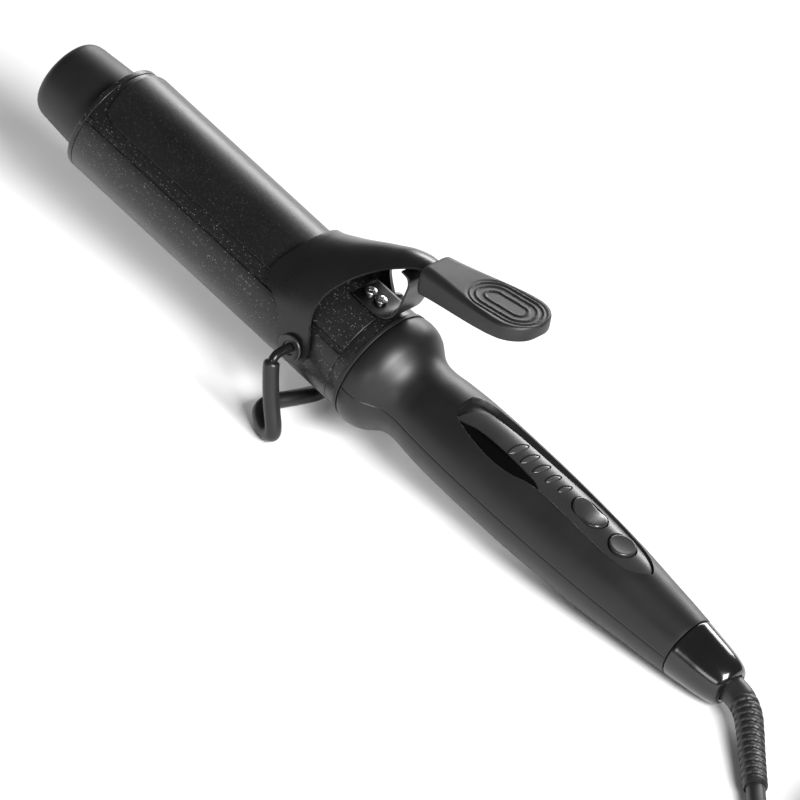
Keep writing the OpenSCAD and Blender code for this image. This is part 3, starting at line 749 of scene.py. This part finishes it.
def make_lever():
    """Saddle over the barrel with an ear at each hinge and a tongue that carries the grip."""
    def ear(start, end):
        return [(PIVOT_X + EAR_R * math.cos(math.radians(a)), EAR_R * math.sin(math.radians(a)))
                for a in np.linspace(start, end, 9)]
    front = smooth(ear(270, 192) + [(-26.4, 2.3), (-29, 6.4), (-32.5, 9), (-35.8, 10.1), (-38.8, 12.4),
                   (-39.9, 15.5), (-39.2, 18.6), (-38.4, 21), (-38.1, 22.5)], 4)
    rear = smooth(ear(270, 345) + [(-13.9, 2.4), (-15.4, 6), (-17.4, 9.4), (-18.9, 12.8), (-19.5, 16.5),
                  (-18.8, 22), (-16.3, 27.5), (-13.3, 32.2), (-9, 37.3), (-4.2, 41.4), (0, 44),
                  (4, 45.2)], 4)
    rows, cols = 76, 56
    front = spaced([(x, lever_angle(x, z)) for x, z in front] + [(-38, 0)], rows)
    rear_line = [(x, lever_angle(x, z)) for x, z in rear] + [(4, 0)]
    rear = spaced(rear_line, rows)
    grid = []
    for side in (1, -1):
        order = range(rows) if side == 1 else range(rows - 2, -1, -1)
        for i in order:
            f, r = front[i], rear[i]
            shares = [j / (cols - 1) for j in range(cols)]
            grid.append([lever_point(mix(f[0], r[0], t), side * mix(f[1], r[1], t)) for t in shares])
    flipped = plate_faces_in(grid[rows // 2:-rows // 2])
    piece = sheet_solid("clamp_lever_sheet", grid, -SHEET if flipped else SHEET, 0.28, sharp=50)
    fit(piece, "clamp", "clamp_coating", "lever", "clamp_lever")


make_plate()
make_lever()

GRIP_X, GRIP_Z, GRIP_PITCH, GRIP_LEN, GRIP_W = 2, 47.2, 13.5, 44, 22
pitch = math.radians(GRIP_PITCH)
grip_dir = axis * math.cos(pitch) + up * math.sin(pitch)
grip_up = up * math.cos(pitch) - axis * math.sin(pitch)
GRIP = place((grip_dir, (0, 1, 0), grip_up), IRON @ Vector((GRIP_X, 0, GRIP_Z)))


def make_grip():
    """Thumb rest: narrow thick nose, wide thin round tail, three raised loops on top."""
    tail_r = GRIP_W / 2
    loops = (2.9, 5.7, 7.7)

    def half_width(x):
        straight = mix(7.2, tail_r, step(min(x, 31) / 31) * 0.55 + min(x, 31) / 31 * 0.45)
        past = x - (GRIP_LEN - tail_r)
        if past > 0:
            straight = tail_r * math.sqrt(max(0, 1 - (past / tail_r) ** 2.35))
        return straight * math.sqrt(max(0.0, 1 - (1 - min(x, 1.6) / 1.6) ** 2) * 0.22 + 0.78)

    def loop_height(x, y):
        past = max(24.5 - x, 0, x - 34.5)
        d = math.hypot(past, y)
        return sum(0.42 * step(1 - abs(d - k) / 0.62) for k in loops) - 0.3 * step((9.2 - d) / 1.2)

    across = 64
    stations = [0, 0.15, 0.4, 0.8, 1.3] + [2 + 0.42 * i for i in range(99)] + [43.6, 43.8, 43.93, 44]
    verts = []
    for x in stations:
        w = max(half_width(x), 0.05)
        nose = math.sqrt(max(0, 1 - (1 - min(x, 1.6) / 1.6) ** 2))
        end = math.sqrt(max(0, 1 - max(0, (x - 42.4) / 1.6) ** 2))
        share = 0.72 + 0.28 * nose
        top_drop = (1 - nose) * 1.6 + (1 - end) * 1.3
        thick = mix(9.6, 5, x / GRIP_LEN)
        corner = min(mix(3.2, 1.3, step(x / 40)), w * 0.9, thick * 0.45)
        low = min(1.2, w * 0.9, thick * 0.45)
        bottom = -thick * share + (1 - end) * 1.3
        section = []
        for k in range(across + 1):
            y = mix(-w + corner, w - corner, k / across)
            section.append((y, -top_drop + loop_height(x, y)))
        for cz, size, start in ((-top_drop - corner, corner, 90), (bottom + low, low, 0)):
            for k in range(1, 8):
                a = math.radians(start - 90 * k / 8)
                section.append((w - size + size * math.cos(a), cz + size * math.sin(a)))
        lower = [(mix(w - low, -w + low, k / 12), bottom) for k in range(13)]
        left = [(-y, z) for y, z in section[across + 1:]][::-1]
        verts += [(x, y, z) for y, z in section + lower + left]
    count = len(verts) // len(stations)
    faces = grid_faces(len(stations), count, True)
    faces += [tuple(range(count)), tuple((len(stations) - 1) * count + j for j in range(count))[::-1]]
    grip = mesh_piece("thumb_grip", verts, faces, GRIP, 60)
    fit(grip, "clamp", "heatproof_plastic", "grip", "lever_grip")


make_grip()


# ---- Spring, screws, bushes ----

def make_spring():
    """Bent leaf that pushes the lever up."""
    line = smooth([(-16, 19.05), (-11, 19.05), (-5.4, 19.15), (-1.8, 20.7), (0.4, 24), (1.2, 28.5),
                   (1.2, 33.5), (1, 37.2), (-0.6, 39.6), (-3.6, 40.1)], 5)
    grid = [[(x, mix(-6, 6, j / 8), z) for j in range(9)] for x, z in line]
    spring = sheet_solid("lever_spring", grid, 0.7, 0.12)
    fit(spring, "root", "spring_steel", "spring", "leaf_spring")
    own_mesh(spring)


def round_head(x, y, z, r, h, slot_r):
    """Domed screw head with a cross recess, standing on z."""
    circle = [(x + r * math.cos(a * math.pi / 20), y + r * math.sin(a * math.pi / 20)) for a in range(40)]

    def top(px, py):
        dx, dy = abs(px - x), abs(py - y)
        cross = min(dx, dy) < 0.28 and max(dx, dy) < slot_r
        return z + h * (1 - 0.35 * ((dx * dx + dy * dy) / r ** 2)) - (0.45 if cross else 0)
    return key_points(circle, top, 0.25, z - 0.2, 14)


def make_spring_screws():
    screws = mesh_piece("spring_screw_pair", *join_parts(
        [round_head(x, 0, 19.85, 2, 1.0, 1.2) for x in (-13.5, -9)]), sharp=50)
    fit(screws, "root", "steel", "steel", "spring_screws")


def make_bushes():
    parts = []
    profile = rounded([(19.02, 3.45), (21.95, 3.45), (21.95, 4.5, 0.35), (22.8, 4.5, 0.45), (22.8, 2.4, 0.3),
                       (22.2, 2.2, 0.2), (22.2, 1.62), (19.02, 1.62)], steps=4)
    for side in (-1, 1):
        verts = [(PIVOT_X + r * math.cos(2 * math.pi * j / 64), side * y, r * math.sin(2 * math.pi * j / 64))
                 for y, r in profile for j in range(64)]
        parts.append((verts, grid_faces(len(profile), 64, True, True)))
    bushes = mesh_piece("hinge_bushes", *join_parts(parts))
    fit(bushes, "root", "steel", "dark_steel", "pivot_bushes")


make_spring()
make_spring_screws()
make_bushes()


# ---- Stand ----

LEG_Y = 30.4
WIRE_R, SLEEVE_R = 1.5, 2.6
stand_side = [(0, -17.9, 0), (0, -22.8, 0), (0, -26.4, 0), (0.3, -29.2, -0.6), (1, -LEG_Y, -3),
              (4, -LEG_Y, -10), (7.2, -LEG_Y, -16), (10.2, -LEG_Y, -21), (10.9, -LEG_Y + 0.2, -23.9),
              (8.8, -LEG_Y + 1.2, -25.8), (5, -27.6, -26.1), (1.4, -25, -25.6), (0.2, -22, -25),
              (0.8, -18, -24.6), (2.2, -13.5, -24.3), (3.8, -8, -24.1), (4.8, -3.3, -24)]


def make_stand():
    whole = stand_side + [(x, -y, z) for x, y, z in stand_side[::-1]]
    steps = 8
    route = [(PIVOT_X + x, y, z) for x, y, z in smooth(whole, steps)]
    wire = sweep("stand_frame", route, lambda run, a, total: WIRE_R - 0.02, 20)
    fit(wire, "stand", "bright_wire", "wire", "stand_wire")
    skip = 4 * steps - 3
    covered = route[skip:-skip]

    def sleeve_radius(run, angle, total):
        end = min(run, total - run)
        return mix(1.75, SLEEVE_R, math.sqrt(step(end / 0.9)))
    sleeve = sweep("stand_cover", covered, sleeve_radius, 28)
    fit(sleeve, "stand", "rubber", "rubber", "stand_sleeve")


make_stand()


# ---- Handle ----

HANDLE_END = 135.5
handle_r = through([(0.55, 19.5), (2.2, 19.9), (4.6, 19.9), (7, 19.4), (9, 18.5), (11, 17.05), (13, 15.6),
                    (14.7, 14.75), (16.6, 14.2), (19.5, 14), (26, 14.6), (33, 15.1), (45, 15.45),
                    (59, 15.45), (71, 15.3), (84, 14.85), (97, 14.15), (107, 13.4), (117, 12.4),
                    (127, 11.45), (HANDLE_END, 10.5)])
OPEN_FRONT, OPEN_BACK = 33, 114.5
RECESS = 1.9
PANEL_DROP = 0.75
WELL_R = 2.6
near_edge = through([(33, 3.4), (34, 6.2), (36.5, 8.1), (40, 9), (46, 9.9), (54, 10.3), (61, 9.7), (67, 8.3),
                     (72, 7.6), (82, 7.4), (96, 7.2), (105, 6.5), (110, 4.9), (113, 2.7), (114.5, 0.6)])
far_edge = through([(33, 1), (34.5, 3.2), (38, 5.3), (46, 6.9), (58, 7.5), (84, 7.5), (98, 7.1), (106, 6),
                    (111, 3.8), (113.4, 1.8), (114.5, 0.4)])


def around(x, y):
    """Angle round the handle at a sideways distance from its middle, positive towards -y."""
    return math.degrees(math.asin(max(-0.999, min(0.999, y / handle_r(x)))))


def shell_stations():
    xs = [0.6, 0.75, 1, 1.5] + [2 + 0.5 * i for i in range(44)]
    xs += [24 + i for i in range(9)] + [33 - 0.25, 33, 33.12, 33.3, 33.6]
    xs += [34 + 0.5 * i for i in range(160)] + [114 + d for d in (0.2, 0.38, 0.5, 0.75)]
    return xs + [115 + i for i in range(21)] + [135.3, 135.42, HANDLE_END]


def end_ease(x):
    """Radius lost where a shell's front and back edges are rounded."""
    return 0.28 * (1 - step((x - 0.55) / 0.5)) + 0.25 * step((x - HANDLE_END + 0.25) / 0.25)


def opening_depth(x):
    return step((x - OPEN_FRONT) / 0.35) * step((OPEN_BACK - x) / 0.35)


def top_row(x):
    """Angles and radii over the upper shell, down into the panel's recess and out again."""
    r, deep = handle_r(x) - end_ease(x), RECESS * opening_depth(x)
    near, far = around(x, near_edge(x)), around(x, -far_edge(x))
    wall = math.degrees(0.28 / r)
    row = [(-90, r - 0.3), (-89.4, r - 0.06), (-88.6, r)]
    row += [(mix(-88.6, far, k / 22), r) for k in range(1, 22)]
    row += [(far - wall * 0.3, r), (far, r - 0.1 * opening_depth(x)), (far + wall, r - deep)]
    row += [(mix(far + wall, near - wall, k / 26), r - deep) for k in range(1, 26)]
    row += [(near - wall, r - deep), (near, r - 0.1 * opening_depth(x)), (near + wall * 0.3, r)]
    row += [(mix(near, 88.6, k / 22), r) for k in range(1, 22)]
    return row + [(88.6, r), (89.4, r - 0.06), (90, r - 0.3)]


def bottom_row(x):
    r = handle_r(x) - end_ease(x)
    row = [(90, r - 0.3), (90.6, r - 0.06), (91.4, r)]
    row += [(mix(91.4, 268.6, k / 70), r) for k in range(1, 70)]
    return row + [(268.6, r), (269.4, r - 0.06), (270, r - 0.3)]


def shell(name, row_at):
    """Half of the handle as a closed wall between its outer face and its cavity."""
    xs = shell_stations()
    outer = [[polar(x, r, a) for a, r in row_at(x)] for x in xs]
    inner = [[polar(x, min(handle_r(x) - 2.4, r - 0.4), a) for a, r in row_at(x)] for x in xs]
    cols = len(outer[0])
    verts = [p for row in outer for p in row] + [p for row in inner for p in row]
    half = len(xs) * cols
    faces = grid_faces(len(xs), cols) + grid_faces(len(xs), cols, first=half)
    for j in range(cols - 1):
        end = (len(xs) - 1) * cols
        faces += [(j, j + 1, half + j + 1, half + j),
                  (end + j, end + j + 1, half + end + j + 1, half + end + j)]
    for i in range(len(xs) - 1):
        for j in (0, cols - 1):
            a, b = i * cols + j, (i + 1) * cols + j
            faces.append((a, b, half + b, half + a))
    return mesh_piece(name, verts, faces, IRON, 32)


def make_shells():
    upper = shell("upper_shell", top_row)
    fit(upper, "root", "soft_touch", "shell", "handle_top_shell")
    lower = shell("lower_shell", bottom_row)
    wells = []
    for x in (24, 121):
        turns = [a * math.pi / 24 for a in range(48)]
        circle = [(x + WELL_R * math.cos(a), WELL_R * math.sin(a)) for a in turns]
        wells.append(prism("well", circle, -30, -9.7))
    cut(lower, wells)
    fit(lower, "root", "soft_touch", "shell", "handle_bottom_shell")


make_shells()


# ---- Control panel ----

LED_X, LED_STEP = 56, 4.9
ROCKER_X, ROCKER_LEN, ROCKER_W = 86.6, 12.9, 8.2
BUTTON_X, BUTTON_R = 101.3, 4.45
strip_near = through([(35.6, 7.6), (38, 7.2), (42, 6.1), (48, 5.5), (56, 5.4), (64, 5.7), (68.5, 6.1),
                      (71, 7), (74, 7.35), (82, 7.15), (96, 6.95), (105, 6.2), (109.5, 4.7),
                      (112.6, 2.5), (114, 0.6)])
strip_far = through([(35.6, -6.9), (37, -3.6), (39.5, -0.6), (44, 1.8), (50, 3), (58, 3.7), (68, 4.3),
                     (78, 5.3), (88, 6.4), (98, 6.6), (105, 5.7), (110, 3.7), (112.9, 1.7), (114, 0.2)])


def surface_z(x, y, drop):
    """Height of the handle's face, lowered by drop, at a station and sideways distance."""
    r = handle_r(x) - drop
    return math.sqrt(max(r * r - y * y, 0.01))


def inlay(name, x0, x1, near, far, drop, base, rows=150, cols=30):
    """Inlay that follows the handle's face between two sideways edges, given towards -y."""
    top, low = [], []
    for i in range(rows):
        x = mix(x0, x1, 0.5 - 0.5 * math.cos(math.pi * i / (rows - 1)))
        for j in range(cols):
            y = -mix(-far(x), near(x), j / (cols - 1))
            top.append((x, y, surface_z(x, y, drop)))
            low.append((x, y, surface_z(x, y, base)))
    return mesh_piece(name, top + low, slab_faces(rows, cols), sharp=40)


def lamp_outline(i, grow):
    """Slanted eye shape of one lamp, run anticlockwise."""
    x, y = LED_X + LED_STEP * i, -1.2 + 0.25 * i
    reach, wide = 3.65 - 0.28 * i + grow, 1.15 - 0.06 * i + grow
    out = []
    for k in range(40):
        a = 2 * math.pi * k / 40
        u, v = wide * math.cos(a), reach * math.sin(a) * (1 - 0.08 * math.cos(2 * a))
        out.append((x + u + 0.16 * v, y + v))
    return out


def key_hole(outline, name):
    return prism(name, outline, 8, 20)


def make_panel():
    strip = inlay("panel_strip", 35.6, 114, strip_near, strip_far, PANEL_DROP, RECESS - 0.1)
    holes = [key_hole(lamp_outline(i, 0.32), f"lamp_hole_{i}") for i in range(5)]
    holes.append(key_hole(stadium(ROCKER_X, 0, ROCKER_LEN + 0.9, ROCKER_W + 0.9, 64), "rocker_hole"))
    holes.append(key_hole(stadium(BUTTON_X, 0, 2 * BUTTON_R + 1.1, 2 * BUTTON_R + 1.1, 64), "button_hole"))
    cut(strip, holes)
    soften(strip, 0.14, 2, 50)
    fit(strip, "root", "panel_plastic", "panel", "control_panel")

    # Painted shade: a darker glossy inlay on the recess's near side, from x 36.4 to 70.2, stands for the
    # shade that falls on that slope.
    def painted_shade_near(x):
        return near_edge(x) - 0.35

    def painted_shade_far(x):
        return -strip_near(x) - 0.12
    painted_shade = inlay("painted_shade_inlay", 36.4, 70.2, painted_shade_near, painted_shade_far, PANEL_DROP + 0.25,
                   RECESS - 0.1, 90, 14)
    fit(painted_shade, "root", "panel_plastic", "painted_shade")


def make_lamps():
    parts = []
    for i in range(5):
        def top(x, y):
            return surface_z(x, y, PANEL_DROP + 0.22)
        parts.append(key_points(lamp_outline(i, 0), top, 0.3, 11, 6))
    lamps = mesh_piece("lamp_lenses", *join_parts(parts), sharp=50)
    fit(lamps, "root", "lens", "lens", "led_lenses")


def make_keys():
    def saddle(x, y):
        u = (x - ROCKER_X) / (ROCKER_LEN / 2)
        return surface_z(x, 0, 0.55) + 0.35 - 1.0 * (1 - step(abs(u) / 0.95)) - 0.012 * y * y
    rocker = mesh_piece("temperature_rocker", *key_points(
        stadium(ROCKER_X, 0, ROCKER_LEN, ROCKER_W, 96), saddle, 0.7, 9, 14), sharp=50)
    fit(rocker, "rocker", "gloss_black", "key", "temp_rocker")

    def dish(x, y):
        d = math.hypot(x - BUTTON_X, y) / BUTTON_R
        return 13.35 - 0.22 * (1 - d * d)
    button = mesh_piece("power_key", *key_points(
        stadium(BUTTON_X, 0, 2 * BUTTON_R, 2 * BUTTON_R, 96), dish, 0.5, 9, 14), sharp=50)
    fit(button, "button", "gloss_black", "key", "power_button")


make_panel()
make_lamps()
make_keys()


# ---- Rear cone ----

def make_cone():
    front, back = HANDLE_END + 0.4, 155
    outline = [(front, 10.2), (front + 0.5, 10.4), (138, 10.2), (142, 9.7), (146, 9.2), (150, 8.5),
               (153, 7.6), (154.3, 6.8), (154.8, 6.1), (back, 5.4)]
    outside = [tuple(p) for p in smooth(outline, 5)]
    section = [(front, 7.5)] + outside + [(154.6, 4.95), (front + 3, 4.95)]
    cone = lathe("swivel_cone", section, True)
    fit(cone, "swivel_cap", "gloss_black", "cone", "end_cone")


make_cone()


# ---- Pieces whose CAD shape stays ----

kept = {
    "tip_screw": "steel", "barrel_socket": "phenolic", "heater_shoes": "alloy",
    "ptc_plates": "ceramic", "electrode_strips": "brass", "thermistor": "sensor",
    "thermal_fuse": "chip", "lead_wires": "leads", "grip_screw": "steel", "handle_screws": "steel",
    "rocker_axle": "steel", "circuit_board": "board", "tact_switches": "well", "led_chips": "chip",
    "swivel_spindle": "rubber", "plug_pins": "brass",
}
for name, material in kept.items():
    node = frame["nodes"][name]
    node.data.materials.clear()
    node.data.materials.append(M[material])


# ---- Floor and light ----

def make_floor():
    side, count = 6.0, 24
    verts = [(side * (i / count - 0.5), side * (j / count - 0.5), 0) for i in range(count + 1)
             for j in range(count + 1)]
    mesh = bpy.data.meshes.new("floor")
    mesh.from_pydata(verts, [], grid_faces(count + 1, count + 1))
    floor = bpy.data.objects.new("floor", mesh)
    bpy.context.scene.collection.objects.link(floor)
    floor.location.z = -0.0002
    mesh.materials.append(M["floor"])


def area_light(name, at, target, size, power):
    data = bpy.data.lights.new(name, "AREA")
    data.shape = "RECTANGLE"
    data.size, data.size_y = size
    data.energy = power
    lamp = bpy.data.objects.new(name, data)
    lamp.location = at
    lamp.rotation_mode = "QUATERNION"
    lamp.rotation_quaternion = (Vector(target) - Vector(at)).to_track_quat("-Z", "Y")
    bpy.context.scene.collection.objects.link(lamp)


def make_light():
    world = bpy.data.worlds.new("studio")
    world.use_nodes = True
    world.node_tree.nodes["Background"].inputs[0].default_value = (1, 1, 1, 1)
    world.node_tree.nodes["Background"].inputs[1].default_value = 0.12
    bpy.context.scene.world = world
    area_light("key", (1.6, -0.6, 1.3), (0, 0, 0), (1.0, 1.0), 95)
    area_light("back", (-0.8, 2.0, 0.8), (0, 0, 0), (1.6, 0.7), 40)
    area_light("fill", (0.6, -2.2, 0.5), (0, 0, 0), (1.2, 0.4), 10)
    bpy.context.scene.view_settings.view_transform = "Standard"


make_floor()
make_light()
